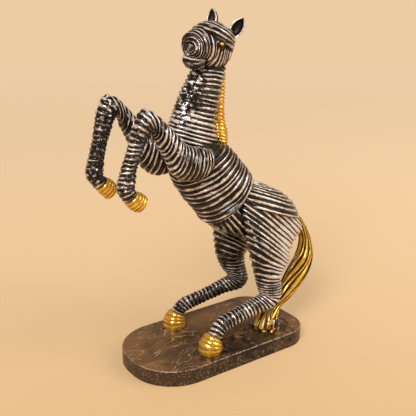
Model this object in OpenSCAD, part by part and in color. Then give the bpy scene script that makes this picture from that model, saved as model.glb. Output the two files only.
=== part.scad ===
// Rearing horse figurine: a cast resin horse whose body looks wound from thick cord, on a low plinth.
// Nose towards -X, tail towards +X, the horse's left side towards -Y, +Z up.
// The origin is the middle of the plinth's underside.

/* [Horse] */
// Height from the top of the plinth to the tip of the right ear
horse_h = 250; // [225:1:290]
// Distance between the middles of the two forelegs
fore_stance = 48; // [44:1:54]
// Distance between the middles of the two hind legs
hind_stance = 49; // [45:1:54]
// How far the head turns to the horse's left, in degrees
head_turn = 20; // [10:1:28]
// How far the nose points down, in degrees
head_dip = 4; // [0:1:8]
// How far the head leans to the horse's left, in degrees
head_lean = 11; // [4:1:15]
// Length of an ear from its root to its tip
ear_len = 15.5; // [12:0.5:17]
// Width of an ear at its widest
ear_w = 8; // [6:0.5:9]
// Diameter of an eye bead
eye_d = 2.8; // [2.2:0.2:3.6]

/* [Winding] */
// Depth of the grooves between the turns on the trunk, the neck and the head
trunk_groove = 1.4; // [0.6:0.1:1.8]
// Depth of the grooves between the turns on the legs
leg_groove = 1.1; // [0.5:0.1:1.3]
// Turns on the barrel
barrel_turns = 15; // [11:1:17]
// Turns on the croup
croup_turns = 8; // [6:1:10]
// Turns on the pelvis, under the barrel's last turn
pelvis_turns = 9; // [7:1:11]
// Turns on the neck
neck_turns = 21; // [16:1:24]
// Turns from the cheeks to the nose
face_turns = 19; // [14:1:21]
// Turns on the crown of the head
crown_turns = 9; // [6:1:10]
// Turns on the lower jaw
jaw_turns = 4; // [3:1:6]
// Turns on each upper foreleg, from the shoulder to the knee
arm_turns = 20; // [15:1:22]
// Turns on each forearm
forearm_turns = 14; // [11:1:17]
// Turns on each thigh
thigh_turns = 19; // [14:1:21]
// Turns on each gaskin, above the hock
gaskin_turns = 6; // [4:1:8]
// Turns on each hind cannon, from the hock to the fetlock
cannon_turns = 16; // [12:1:18]
// Turns on each pastern
pastern_turns = 4; // [3:1:5]
// Ridges round each hoof
hoof_turns = 4; // [3:1:5]
// Steps along the mane
mane_turns = 13; // [10:1:16]
// Twisted strands in the tail
tail_strands = 7; // [5:1:9]
// Depth of the grooves between the tail's strands
tail_groove = 1.8; // [1:0.1:2.4]
// How far the strands twist from the dock to the foot, in degrees
tail_twist = 150; // [60:10:240]

/* [Plinth] */
// Length of the plinth
plinth_len = 147; // [138:1:165]
// Width of the plinth
plinth_w = 79; // [76:1:92]
// Thickness of the plinth
plinth_t = 12.5; // [11:0.5:16]
// Radius of the two corners under the forelegs
plinth_fore_r = 36; // [30:1:37]
// Radius of the two corners behind the tail
plinth_rear_r = 22; // [16:1:30]
// Radius of the worn round along the top edge
plinth_edge_r = 1.2; // [0.6:0.2:2]

/* [Pins] */
// Diameter of the steel pins that hold the horse to its plinth
pin_d = 3; // [2:0.5:4]
// Length of each pin, half of it in the plinth
pin_len = 13; // [10:1:16]
// Room around a pin in its bore, and at the bore's end
pin_gap = 0.1; // [0.05:0.05:0.2]

/* [Hidden] */

// One hundredth of the horse's height: the unit of the share tables below
u = horse_h / 100;
// Room left where one wound form seats on another
seat_gap = 0.1;
silver = [0.42, 0.38, 0.34];
gold = [0.80, 0.58, 0.22];
dark = [0.14, 0.11, 0.10];
earth = [0.27, 0.21, 0.18];
steel = [0.75, 0.76, 0.78];

// Each row of these tables is one section of a form: how far back, how far to the side, how high above
// the plinth, the section's tilt in degrees, its half depth and its half width. All but the tilt are
// shares of the horse's height in hundredths, and the legs' side column is a share of half their stance.
barrel_shares = [
    [-8.8, 0, 63.5, 18, 6.4, 5.6], [-6.6, 0, 60.3, 21, 8.4, 7.4], [-3.6, 0, 56.1, 26, 10.2, 8.4],
    [-0.4, 0, 51.9, 30, 10.6, 8.6], [3, 0, 47.9, 35, 10.6, 8.6], [6, 0, 43.9, 43, 10.4, 8.4]];
pelvis_shares = [
    [18.4, 0, 40.3, 130, 13, 7], [15.2, 0, 39.5, 130, 15.5, 7.4], [11.2, 0, 38, 130, 14.4, 8.1],
    [6.8, 0, 37.1, 130, 12.1, 7.6], [2.2, 0, 37.8, 130, 8.5, 6.2], [-0.3, 0, 37.6, 130, 5, 4.3],
    [-1.4, 0, 37.3, 130, 2, 2]];
croup_shares = [
    [18.9, 0, 38.8, 160, 15.3, 11.8], [19, 0, 40.9, 160, 14.5, 11.1], [18.8, 0, 42.9, 160, 13.3, 10],
    [18.2, 0, 44.7, 160, 11.8, 8.6], [17.2, 0, 46.4, 160, 9.4, 6.8], [15.4, 0, 47.9, 160, 6.4, 4.6],
    [14.2, 0, 48.8, 160, 3, 2.4]];
neck_shares = [
    [-5.4, 0, 60, 163, 10.9, 7.6], [-6.3, 0, 64.2, 162, 9, 6.5], [-6.2, 0, 68.3, 164, 7.5, 5.6],
    [-5.1, 0, 72.3, 167, 7, 5], [-3.7, 0, 76.3, 169, 6.5, 4.6], [-2.1, 0, 79.9, 171, 6, 4.2],
    [-0.9, 0, 82.7, 172, 5.5, 4], [0.2, 0, 86.3, 176, 4, 3.2]];
mane_shares = [
    [4.4, 0, 81.9, 173, 0.7, 1], [3.2, 0, 77.1, 172, 1.6, 1.4], [2.6, 0, 72.7, 170, 2, 1.7],
    [2.6, 0, 68.7, 167, 2.2, 2], [3.2, 0, 65.1, 165, 2.6, 2.2], [3.8, 0, 61.9, 160, 2.2, 1.8],
    [4.6, 0, 59.3, 155, 0.8, 1]];
// The first nine rows of a foreleg run from the shoulder to the knee, the next five to the fetlock
fore_left_shares = [
    [-4, 0.62, 58.7, 82, 1.2, 1.6], [-5.6, 0.69, 58.5, 80, 3.4, 3], [-8.6, 0.77, 58.3, 76, 4.6, 3.8],
    [-12.6, 0.83, 58.9, 70, 5, 4], [-16.4, 0.88, 60.7, 64, 4.6, 3.8], [-19.2, 0.92, 64.5, 63, 3.8, 3.4],
    [-22, 0.92, 68.2, 66, 3.3, 3], [-24.4, 0.92, 71.3, 88, 3.2, 2.8], [-26.4, 0.92, 72.5, 116, 3.3, 2.7],
    [-28.2, 0.92, 70.2, 140, 2.7, 2.6], [-29.4, 0.92, 67.3, 158, 2.4, 2.3],
    [-30.8, 0.92, 63.9, 168, 2.2, 2.1], [-32.2, 0.92, 60.3, 172, 2.2, 2.2],
    [-33.2, 0.92, 56.5, 170, 2.5, 2.5], [-33.2, 0.92, 54.7, 190, 2.4, 2.3], [-32, 0.92, 52.9, 222, 2.1, 2.1]];
fore_right_shares = [
    [-4, 0.62, 58.7, 82, 1.2, 1.6], [-5.6, 0.69, 58.5, 80, 3.4, 3], [-8.6, 0.77, 57.9, 76, 5, 3.8],
    [-12.8, 0.83, 58.1, 70, 6, 4.2], [-16.8, 0.92, 60.5, 66, 5.2, 4], [-19.6, 1, 64.9, 66, 4, 3.6],
    [-22.2, 1.08, 69.1, 74, 3.5, 3], [-24.6, 1.08, 72.5, 96, 3.5, 2.8], [-26.8, 1.08, 73.9, 118, 3.5, 2.7],
    [-28.6, 1.08, 71.3, 143, 3, 2.6], [-29.6, 1.08, 67.9, 158, 2.6, 2.5],
    [-30.8, 1.08, 63.9, 166, 2.3, 2.3], [-32, 1.08, 59.7, 170, 2.4, 2.3],
    [-32.9, 1.08, 55.7, 168, 2.7, 2.6], [-32.5, 1.08, 53.9, 190, 2.5, 2.4], [-30.8, 1.08, 52.1, 222, 2.3, 2.2]];
fore_hoof_left_shares = [
    [-32, 0.92, 52.9, 222, 2.2, 2.2], [-30.4, 0.92, 51.6, 227, 2.7, 2.6], [-28.8, 0.92, 50.3, 229, 2.5, 2.5]];
fore_hoof_right_shares = [
    [-30.8, 1.08, 52.1, 222, 2.4, 2.3], [-29.2, 1.08, 50.6, 224, 2.7, 2.6], [-27.7, 1.08, 49, 226, 2.6, 2.5]];
// A hind leg's rows run down the thigh to the gaskin, to the hock, along the cannon and down the pastern
hind_left_shares = [
    [25.4, 0.44, 38.2, 138, 11, 3.6], [23.4, 0.48, 37.4, 138, 12.6, 4.2], [20.6, 0.54, 36.6, 138, 13, 4.6],
    [17.8, 0.62, 35.6, 138, 14, 4.7], [15.6, 0.76, 33, 138, 13, 5.2], [15.1, 0.92, 28.6, 140, 10.6, 5.6],
    [14.6, 0.97, 24.6, 146, 7.9, 5], [14.7, 0.98, 21.1, 158, 5.5, 4.4], [15.1, 0.98, 18.9, 170, 4.6, 4.1],
    [15.7, 0.98, 15.7, 174, 4.2, 3.7],
    [16.4, 0.98, 12.9, 168, 4, 3.5], [15.4, 0.98, 10.9, 136, 3.5, 3.2], [11.6, 0.98, 10, 110, 2.9, 2.7],
    [6, 0.98, 9.2, 100, 2.6, 2.6], [0.8, 0.98, 8.3, 100, 2.5, 2.5], [-2.4, 0.98, 7.5, 112, 2.5, 2.5],
    [-4, 0.98, 6.1, 130, 2.3, 2.3], [-5.4, 0.98, 4.1, 142, 2.3, 2.3]];
hind_right_shares = [
    [25.2, 0.44, 37.8, 138, 11, 3.6], [23.2, 0.48, 36.8, 138, 12.4, 4.2], [20.4, 0.54, 35.8, 138, 12.4, 4.6],
    [17.8, 0.64, 34.6, 138, 13, 4.8], [15.8, 0.8, 31.4, 138, 11.2, 5.4], [14.9, 0.94, 26.6, 142, 8.8, 5.4],
    [14.6, 0.98, 22.7, 150, 6.7, 4.9],
    [14.8, 0.99, 20.6, 158, 6, 4.6], [15.1, 1, 18.8, 166, 5.4, 4.4], [16.4, 1.02, 15.1, 170, 4.7, 4],
    [18.2, 1.02, 11.4, 160, 4.3, 3.7], [17, 1.02, 9.3, 134, 3.6, 3.2], [12.4, 1.02, 9, 108, 2.7, 2.5],
    [6.4, 1.02, 8.1, 99, 2.3, 2.3], [0.8, 1.02, 7.3, 99, 2.3, 2.3], [-3.2, 1.04, 6.5, 110, 2.4, 2.4],
    [-4.8, 1.06, 5.5, 130, 2.3, 2.3], [-6, 1.06, 4.1, 145, 2.4, 2.4]];
hind_hoof_left_shares = [
    [-5.4, 0.98, 4.1, 142, 2.8, 2.8], [-6.6, 0.98, 2.1, 160, 3.7, 3.6], [-7, 0.98, 0, 180, 3.8, 3.7]];
hind_hoof_right_shares = [
    [-6, 1.06, 4.1, 145, 2.9, 2.9], [-7, 1.06, 2.1, 162, 3.7, 3.6], [-7.2, 1.06, 0, 180, 3.8, 3.7]];
// The tail's side column is a share of the height too, towards the horse's left
tail_shares = [
    [32.4, 1.3, 33.9, 210, 1.2, 1.2], [34.6, 1.7, 31.7, 198, 1.3, 1.3], [35.8, 2.4, 28.5, 190, 1.7, 1.7],
    [36.6, 3.2, 24.7, 178, 2.1, 2.2], [36, 4, 20.3, 165, 2.9, 3], [33.4, 4.8, 16.3, 145, 3.6, 3.4],
    [29.4, 5.6, 12.5, 132, 3.6, 3.2], [25.2, 6.4, 9.1, 135, 2.7, 2.6], [21.8, 6.8, 6.3, 140, 1.6, 1.7],
    [19.2, 7.2, 4.3, 150, 2.2, 2.6], [18, 7.2, 2.3, 160, 3.6, 4], [17, 7, 0, 180, 4.8, 5.2]];
// The head's tables are set in its own frame, whose first axis points to the nose
head_place_shares = [1.4, 0, 90.4];
face_shares = [
    [-4.8, 0, -1.4, 90, 1.8, 1.6], [-4, 0, -1.4, 90, 4, 3.4], [-2.4, 0, -1.6, 90, 5.5, 4.7],
    [0.6, 0, -1.7, 90, 6.7, 5.3], [3.2, 0, -1.3, 90, 6.9, 5.4], [5.4, 0, -0.7, 90, 5.8, 5],
    [7.2, 0, 0, 90, 4.9, 4.7], [8.8, 0, 0.4, 90, 4.5, 4.5], [10.2, 0, 0.4, 90, 3.9, 4.2],
    [11.2, 0, 0.2, 90, 3.1, 3.4], [11.9, 0, 0, 90, 2, 2.4], [12.2, 0, 0, 90, 0.8, 1]];
jaw_shares = [
    [8.9, 0, -6, 0, 1.4, 1.2], [9, 0, -5.6, 0, 2.5, 2.2], [9.2, 0, -4.8, 0, 3.1, 2.9],
    [9.4, 0, -3.8, 0, 3.4, 3.2], [9.5, 0, -2.7, 0, 3.4, 3.3]];
crown_shares = [
    [0.5, 0, -2.6, 0, 4.9, 3.4], [0.6, 0, -1.4, 0, 6.8, 4.9], [0.6, 0, 0, 0, 7.7, 5.7],
    [0.1, 0, 1.2, 0, 7.2, 5.6], [-0.2, 0, 2.4, 0, 6.5, 5.2], [-0.5, 0, 3.4, 0, 5.4, 4.4],
    [-0.8, 0, 4.2, 0, 3.9, 3.2], [-1, 0, 4.7, 0, 2, 1.8]];
crown_place_shares = [0.6, 0, 0.9];
// How far the crown leans back, in degrees
crown_lean = 30;
// Where an ear's root and an eye's middle lie on the left side of the head
ear_place_shares = [-2.5, 3.6, 2.2];
eye_place_shares = [3.9, 4.8, 1.2];
// Each row is a level of an ear: its place between root and tip, its half width as a share of the ear's
// width, and how far its front is drawn in, as a share of its half depth
ear_shares = [[0, 0.3, 0], [0.2, 0.44, 0.9], [0.4, 0.5, 1.4], [0.6, 0.48, 1.4], [0.82, 0.34, 1], [1, 0.1, 0]];
ear_depth_share = 0.85;
// How far an ear leans outwards and back, and how far its hollow turns outwards, in degrees
ear_splay = 18;
ear_sweep = 22;
ear_spin = 3;

// Index of the row where each length of a leg ends
knee_index = 8;
fore_fetlock_index = 13;
stifle_index = 8;
hock_index = 10;
hind_fetlock_index = 15;
tail_end_index = 9;

// Corners of a section
trunk_sides = 16;
neck_sides = 14;
leg_sides = 12;
shin_sides = 9;
trim_sides = 8;
ear_sides = 12;
eye_sides = 12;
// Samples per row that even out the turns
paces_per_row = 6;
$fn = 32;

// The share tables as real sections, out to the given side by the given half stance
function real(rows, half, side) = [for (r = rows)
    [r[0] * u, side * r[1] * half, plinth_t + r[2] * u, r[3], r[4] * u, r[5] * u]];
function in_head(rows) = [for (r = rows) [r[0] * u, r[1] * u, r[2] * u, r[3], r[4] * u, r[5] * u]];

// A smooth curve through all rows of a table, and the row at place t along it
function blend(a, b, c, d, f) =
    (2 * b + (c - a) * f + (2 * a - 5 * b + 4 * c - d) * f * f + (3 * b - a - 3 * c + d) * f * f * f) / 2;
function at(rows, t) =
    let (last = len(rows) - 1, i = min(floor(t), last - 1))
    blend(rows[max(i - 1, 0)], rows[i], rows[i + 1], rows[min(i + 2, last)], t - i);

// A point of a section, drawn in towards its middle by the given depth
function rim(row, angle, depth) = [
    row[0] + (row[4] - depth) * cos(angle) * cos(row[3]),
    row[1] + (row[5] - depth) * sin(angle),
    row[2] + (row[4] - depth) * cos(angle) * sin(row[3])];
// Whether the sections' own normals run against the way from the first row to the last
function backwards(rows, from, to) =
    let (a = at(rows, from), b = at(rows, to), m = at(rows, (from + to) / 2))
    (b[0] - a[0]) * -sin(m[3]) + (b[2] - a[2]) * cos(m[3]) < 0;
function turned(faces, flip) = flip ? [for (f = faces) [for (i = [len(f) - 1:-1:0]) f[i]]] : faces;

// The way passed along a table, with its sections' growth, beside the place that it reaches
function paces(rows, from, to) =
    let (
        count = paces_per_row * ceil(to - from),
        places = [for (i = [0:count]) from + (to - from) * i / count],
        marks = [for (t = places) let (r = at(rows, t)) [r[0], r[1], r[2], r[4]]])
    [for (i = 0, way = 0; i <= count;
        way = i < count ? way + norm(marks[i + 1] - marks[i]) : way, i = i + 1) [way, places[i]]];

// A form wound with one unbroken cord: its groove and its crest are two helices, half a turn apart,
// that run from the flat section at row from to the flat section at row to, and the turns lie evenly
module wound(rows, from, to, turns, sides, groove) {
    steps = turns * sides;
    crests = steps - sides;
    table = paces(rows, from, to);
    way = table[len(table) - 1][0];
    function place(k) = lookup(way * k / steps, table);
    low = [for (k = [0:steps]) rim(at(rows, place(k)), 360 * k / sides, groove)];
    high = [for (k = [0:crests]) rim(at(rows, place(k + sides / 2)), 360 * k / sides, 0)];
    first = [for (j = [1:sides - 1]) rim(at(rows, from), 360 * j / sides, groove)];
    last = [for (j = [1:sides - 1]) rim(at(rows, to), 360 * j / sides, groove)];
    h = steps + 1;
    f = h + crests + 1;
    l = f + sides - 1;
    function start(j) = j % sides == 0 ? 0 : f + j - 1;
    function finish(j) = j % sides == 0 ? steps : l + j - 1;
    faces = concat(
        [for (k = [0:crests - 1]) each [
            [k, h + k + 1, k + 1], [k, h + k, h + k + 1],
            [h + k, k + sides + 1, h + k + 1], [h + k, k + sides, k + sides + 1]]],
        [for (j = [1:sides - 1]) [start(j), j, start(j + 1)]],
        [for (j = [1:sides - 1]) [j, j + 1, start(j + 1)]],
        [[0, 1, start(1)]],
        [for (j = [0:sides - 2]) [crests + j, finish(j), finish(j + 1)]],
        [for (j = [0:sides - 2]) [crests + j, finish(j + 1), crests + j + 1]],
        [[steps - 1, finish(sides - 1), steps]],
        [[0, sides, h], [crests, h + crests, steps]],
        [[for (j = [0:sides - 1]) start(j)], [for (j = [sides - 1:-1:0]) finish(j)]]);
    polyhedron(concat(low, high, first, last), turned(faces, backwards(rows, from, to)));
}

// The same form without its grooves, and larger by the given growth
module smooth(rows, from, to, sides, growth) {
    rings = 2 * ceil(to - from);
    points = [for (i = [0:rings]) let (r = at(rows, from + (to - from) * i / rings))
        for (j = [0:sides - 1]) rim(r, 360 * j / sides, -growth)];
    polyhedron(points, turned(tube_faces(rings, sides), backwards(rows, from, to)));
}
function tube_faces(rings, sides) = concat(
    [for (i = [0:rings - 1]) for (j = [0:sides - 1]) let (a = i * sides + j, b = i * sides + (j + 1) % sides)
        each [[a, a + sides, b], [b, a + sides, b + sides]]],
    [[for (j = [0:sides - 1]) j], [for (j = [sides - 1:-1:0]) rings * sides + j]]);

// A form of strands that run along it and twist: every other corner of a section is a groove
module stranded(rows, from, to, rings, strands, groove, twist_from, twist_to) {
    sides = 2 * strands;
    points = [for (i = [0:rings]) let (
            t = from + (to - from) * i / rings,
            r = at(rows, t),
            turn = twist_from + (twist_to - twist_from) * i / rings,
            deep = groove * min(r[4], r[5]) / (rows[tail_end_index - 4][5]))
        for (j = [0:sides - 1]) rim(r, 360 * j / sides + turn, j % 2 == 1 ? deep : 0)];
    polyhedron(points, turned(tube_faces(rings, sides), backwards(rows, from, to)));
}

module in_head_frame() {
    translate([head_place_shares[0] * u, 0, plinth_t + head_place_shares[2] * u])
        rotate([-head_lean, head_dip, 180 + head_turn])
            children();
}
module in_crown_frame() {
    in_head_frame()
        translate(crown_place_shares * u)
            rotate([0, -crown_lean, 0])
                children();
}

barrel_rows = real(barrel_shares, u, 1);
pelvis_rows = real(pelvis_shares, u, 1);
croup_rows = real(croup_shares, u, 1);
neck_rows = real(neck_shares, u, 1);
mane_rows = real(mane_shares, u, 1);
tail_rows = real(tail_shares, u, -1);
fore_rows = [real(fore_left_shares, fore_stance / 2, -1), real(fore_right_shares, fore_stance / 2, 1)];
fore_hoof_rows = [
    real(fore_hoof_left_shares, fore_stance / 2, -1), real(fore_hoof_right_shares, fore_stance / 2, 1)];
hind_rows = [real(hind_left_shares, hind_stance / 2, -1), real(hind_right_shares, hind_stance / 2, 1)];
hind_hoof_rows = [
    real(hind_hoof_left_shares, hind_stance / 2, -1), real(hind_hoof_right_shares, hind_stance / 2, 1)];
face_rows = in_head(face_shares);
jaw_rows = in_head(jaw_shares);
crown_rows = in_head(crown_shares);

// The first child less the others, all taken as meshes
module carved() {
    resize([0, 0, 0])
        difference() {
            children(0);
            children([1:$children - 1]);
        }
}

// A trunk form as its neighbours see it: smooth, and larger by the room between two seats
module whole_seat(rows) {
    smooth(rows, 0, len(rows) - 1, trunk_sides, seat_gap);
}
module thigh_seat(leg) {
    smooth(hind_rows[leg], 0, stifle_index, leg_sides, seat_gap);
}
module whole_wound(rows, turns, sides) {
    wound(rows, 0, len(rows) - 1, turns, sides, trunk_groove);
}

module barrel() {
    color(silver)
        whole_wound(barrel_rows, barrel_turns, trunk_sides);
}
module pelvis() {
    color(silver)
        carved() {
            whole_wound(pelvis_rows, pelvis_turns, trunk_sides);
            whole_seat(barrel_rows);
            whole_seat(croup_rows);
        }
}
module croup() {
    color(silver)
        carved() {
            whole_wound(croup_rows, croup_turns, trunk_sides);
            whole_seat(barrel_rows);
        }
}
module neck() {
    color(silver)
        carved() {
            whole_wound(neck_rows, neck_turns, neck_sides);
            whole_seat(barrel_rows);
            in_head_frame() {
                whole_seat(face_rows);
                whole_seat(jaw_rows);
            }
        }
}
module mane() {
    color(gold)
        carved() {
            wound(mane_rows, 0, len(mane_rows) - 1, mane_turns, trim_sides, leg_groove);
            whole_seat(neck_rows);
            whole_seat(barrel_rows);
            in_head_frame()
                whole_seat(face_rows);
        }
}

module face() {
    color(silver)
        carved() {
            in_head_frame()
                whole_wound(face_rows, face_turns, neck_sides);
            in_crown_frame()
                whole_seat(crown_rows);
            for (side = [-1, 1])
                eye_bead(side, seat_gap);
        }
}
module crown() {
    color(silver)
        in_crown_frame()
            whole_wound(crown_rows, crown_turns, neck_sides);
}
module jaw() {
    color(silver)
        carved() {
            in_head_frame()
                wound(jaw_rows, 0, len(jaw_rows) - 1, jaw_turns, leg_sides, leg_groove);
            in_head_frame()
                whole_seat(face_rows);
        }
}
module eye_bead(side, gap) {
    in_head_frame()
        translate([eye_place_shares[0] * u, side * eye_place_shares[1] * u, eye_place_shares[2] * u])
            sphere(d = eye_d + 2 * gap, $fn = eye_sides);
}
module eye(side) {
    color(gold)
        eye_bead(side, 0);
}

// An ear is a pointed leaf, hollowed in front, that stands on the crown and leans out
module ear_leaf() {
    last = len(ear_shares) - 1;
    rings = 2 * last;
    points = [for (i = [0:rings]) for (j = [0:ear_sides - 1]) let (
            row = at(ear_shares, i * last / rings),
            angle = 360 * j / ear_sides,
            half_w = row[1] * ear_w,
            depth = half_w * ear_depth_share * (cos(angle) > 0 ? 1 - row[2] : 1))
        [depth * cos(angle), half_w * sin(angle), row[0] * ear_len]];
    polyhedron(points, tube_faces(rings, ear_sides));
}
module ear(side) {
    color(silver)
        carved() {
            in_head_frame()
                translate([ear_place_shares[0] * u, side * ear_place_shares[1] * u, ear_place_shares[2] * u])
                    rotate([-side * ear_splay, -ear_sweep, 0])
                        rotate([0, 0, side * ear_spin])
                            ear_leaf();
            in_crown_frame()
                whole_seat(crown_rows);
        }
}

module leg_piece(rows, from, to, turns) {
    color(silver)
        wound(rows, from, to, turns, shin_sides, leg_groove);
}
module arm(leg) {
    color(silver)
        carved() {
            wound(fore_rows[leg], 0, knee_index, arm_turns, leg_sides, leg_groove);
            whole_seat(barrel_rows);
            whole_seat(neck_rows);
        }
}
module thigh(leg) {
    color(silver)
        carved() {
            wound(hind_rows[leg], 0, stifle_index, thigh_turns, leg_sides, leg_groove);
            whole_seat(barrel_rows);
            whole_seat(croup_rows);
            whole_seat(pelvis_rows);
        }
}
module forearm(leg) {
    leg_piece(fore_rows[leg], knee_index, fore_fetlock_index, forearm_turns);
}
module fore_pastern(leg) {
    leg_piece(fore_rows[leg], fore_fetlock_index, len(fore_rows[leg]) - 1, pastern_turns);
}
module gaskin(leg) {
    leg_piece(hind_rows[leg], stifle_index, hock_index, gaskin_turns);
}
module cannon(leg) {
    leg_piece(hind_rows[leg], hock_index, hind_fetlock_index, cannon_turns);
}
module hind_pastern(leg) {
    leg_piece(hind_rows[leg], hind_fetlock_index, len(hind_rows[leg]) - 1, pastern_turns);
}
module fore_hoof(leg) {
    color(gold)
        wound(fore_hoof_rows[leg], 0, len(fore_hoof_rows[leg]) - 1, hoof_turns, shin_sides, leg_groove);
}
module pin_at(place, gap) {
    translate([place[0], place[1], plinth_t - pin_len / 2 - gap])
        cylinder(d = pin_d + 2 * gap, h = pin_len + 2 * gap);
}
module hind_hoof(leg) {
    color(gold)
        difference() {
            wound(hind_hoof_rows[leg], 0, len(hind_hoof_rows[leg]) - 1, hoof_turns, shin_sides, leg_groove);
            pin_at(hoof_pin_places[leg], pin_gap);
        }
}
module tail() {
    color(gold)
        carved() {
            stranded(tail_rows, 0, tail_end_index, 3 * tail_end_index, tail_strands, tail_groove, 0, tail_twist);
            whole_seat(croup_rows);
            whole_seat(pelvis_rows);
            for (leg = [0, 1])
                thigh_seat(leg);
        }
}
module tail_foot() {
    color(gold)
        difference() {
            stranded(tail_rows, tail_end_index, len(tail_rows) - 1, 4, tail_strands, tail_groove,
                tail_twist, tail_twist);
            pin_at(tail_pin_place, pin_gap);
        }
}

// A pin stands under the row next to the last one, where the form is thickest above its bore
hoof_pin_places = [for (rows = hind_hoof_rows) [rows[1][0], rows[1][1]]];
tail_pin_place = [tail_rows[len(tail_rows) - 2][0], tail_rows[len(tail_rows) - 2][1]];

// A corner of the plinth, turned from a profile whose top edge is rounded
module plinth_corner(x, y, r) {
    translate([x, y, 0])
        rotate_extrude()
            edge_profile(r);
}
module edge_profile(r) {
    square([r, plinth_t - plinth_edge_r]);
    square([r - plinth_edge_r, plinth_t]);
    translate([r - plinth_edge_r, plinth_t - plinth_edge_r])
        intersection() {
            circle(plinth_edge_r);
            square(plinth_edge_r);
        }
}
module plinth() {
    fore_x = -plinth_len / 2 + plinth_fore_r;
    rear_x = plinth_len / 2 - plinth_rear_r;
    fore_y = plinth_w / 2 - plinth_fore_r;
    rear_y = plinth_w / 2 - plinth_rear_r;
    color(earth)
        difference() {
            union() {
                for (side = [-1, 1]) {
                    plinth_corner(fore_x, side * fore_y, plinth_fore_r);
                    plinth_corner(rear_x, side * rear_y, plinth_rear_r);
                    translate([fore_x, 0, 0])
                        rotate([90, 0, 90])
                            linear_extrude(rear_x - fore_x)
                                scale([side, 1])
                                    edge_profile(plinth_w / 2);
                }
                translate([fore_x, fore_y, 0])
                    rotate([90, 0, 0])
                        linear_extrude(2 * fore_y)
                            scale([-1, 1])
                                edge_profile(plinth_fore_r);
                translate([rear_x, rear_y, 0])
                    rotate([90, 0, 0])
                        linear_extrude(2 * rear_y)
                            edge_profile(plinth_rear_r);
            }
            for (place = hoof_pin_places)
                pin_at(place, pin_gap);
            pin_at(tail_pin_place, pin_gap);
        }
}
module pin(place) {
    color(steel)
        pin_at(place, 0);
}

plinth();
pin(hoof_pin_places[0]);  // hoof_pin_left
pin(hoof_pin_places[1]);  // hoof_pin_right
pin(tail_pin_place);  // tail_pin
barrel();
pelvis();
croup();
neck();
face();
crown();
jaw();
ear(1);  // ear_left
ear(-1);  // ear_right
eye(1);  // eye_left
eye(-1);  // eye_right
mane();
arm(0);  // arm_left
arm(1);  // arm_right
forearm(0);  // forearm_left
forearm(1);  // forearm_right
fore_pastern(0);  // fore_pastern_left
fore_pastern(1);  // fore_pastern_right
fore_hoof(0);  // fore_hoof_left
fore_hoof(1);  // fore_hoof_right
thigh(0);  // thigh_left
thigh(1);  // thigh_right
gaskin(0);  // gaskin_left
gaskin(1);  // gaskin_right
cannon(0);  // cannon_left
cannon(1);  // cannon_right
hind_pastern(0);  // hind_pastern_left
hind_pastern(1);  // hind_pastern_right
hind_hoof(0);  // hind_hoof_left
hind_hoof(1);  // hind_hoof_right
tail();
tail_foot();
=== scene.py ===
import bpy
import numpy as np
from mathutils import Matrix, Vector
from numpy import arange, array, cos, exp, full, linspace, maximum, minimum, pi, radians, sin
from numpy import stack, zeros


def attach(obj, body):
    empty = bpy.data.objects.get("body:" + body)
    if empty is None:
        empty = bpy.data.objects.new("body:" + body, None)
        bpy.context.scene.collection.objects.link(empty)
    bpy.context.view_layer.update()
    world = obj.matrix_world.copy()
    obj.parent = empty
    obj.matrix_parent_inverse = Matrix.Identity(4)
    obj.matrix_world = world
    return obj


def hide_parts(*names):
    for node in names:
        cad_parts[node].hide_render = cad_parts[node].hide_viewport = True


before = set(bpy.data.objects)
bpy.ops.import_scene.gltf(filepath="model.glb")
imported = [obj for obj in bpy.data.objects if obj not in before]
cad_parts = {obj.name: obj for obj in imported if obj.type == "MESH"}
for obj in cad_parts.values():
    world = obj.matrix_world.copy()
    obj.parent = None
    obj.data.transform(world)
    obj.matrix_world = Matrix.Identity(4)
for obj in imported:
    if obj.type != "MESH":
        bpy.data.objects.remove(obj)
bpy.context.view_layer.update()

# The camera stands where the photograph's did, and looks along the line from its back
camera_place = (-0.2797, -0.3930, 0.2733)
camera_back = (-0.548, -0.777, 0.3085)
camera_lens = 58.03


def add_camera():
    """A level camera: its right is the floor's up crossed with its back."""
    back = Vector(camera_back).normalized()
    right = Vector((0, 0, 1)).cross(back).normalized()
    camera = bpy.data.objects.new("camera", bpy.data.cameras.new("camera"))
    camera.data.lens = camera_lens
    camera.data.clip_start = 0.01
    camera.data.clip_end = 100
    camera.matrix_world = Matrix((*zip(right, back.cross(right), back, camera_place), (0, 0, 0, 1)))
    bpy.context.scene.collection.objects.link(camera)
    bpy.context.scene.camera = camera


add_camera()

# The horse's sizes in metres, and its angles in degrees. The unit is a hundredth of its height.
unit = 0.250 / 100
fore_stance = 0.048
hind_stance = 0.049
plinth_len = 0.147
plinth_w = 0.079
plinth_t = 0.0125
plinth_fore_r = 0.036
plinth_rear_r = 0.022
plinth_edge_r = 0.0012
plinth_foot_r = 0.0004
head_turn = 20
head_dip = 4
head_lean = 11
crown_lean = 30
ear_w = 0.0098
ear_depth_share = 0.85
ear_splay = 18
ear_sweep = 22
ear_rim = 0.0014
trunk_groove = 0.0013
face_groove = 0.0010
leg_groove = 0.0008
hoof_groove = 0.0004
tail_twist = 150

# How far beside another form the paint is darker: less paint reaches there, and painted shade darkens the
# crease
crease = 0.0018

# The cords: the power of the sine across them, how far their height wanders and goes with their thickness,
# the sizes of their dents, and the height of the lumps where they are rubbed
crest_power = 1.6
height_wander = 0.12
height_by_thickness = 0.25
dent_size = 0.0022
small_dent_size = 0.0009
rubbed_lump = 0.0007

# The eyes' sockets: how deep and wide they are, and how high, how far out and how wide their lids are
socket_depth = 0.0012
socket_r = 0.0022
lid_h = 0.0007
lid_r = 0.0034
lid_w = 0.0009

# Locks of the tail's tuft, which of them are silver, and which are wide
lock_count = 12
silver_locks = (7, 8, 9)
wide_locks = (0, 11)


# Numbers and places

join = np.concatenate


def held(x):
    """The value held between nothing and one."""
    return np.clip(x, 0, 1)


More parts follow.
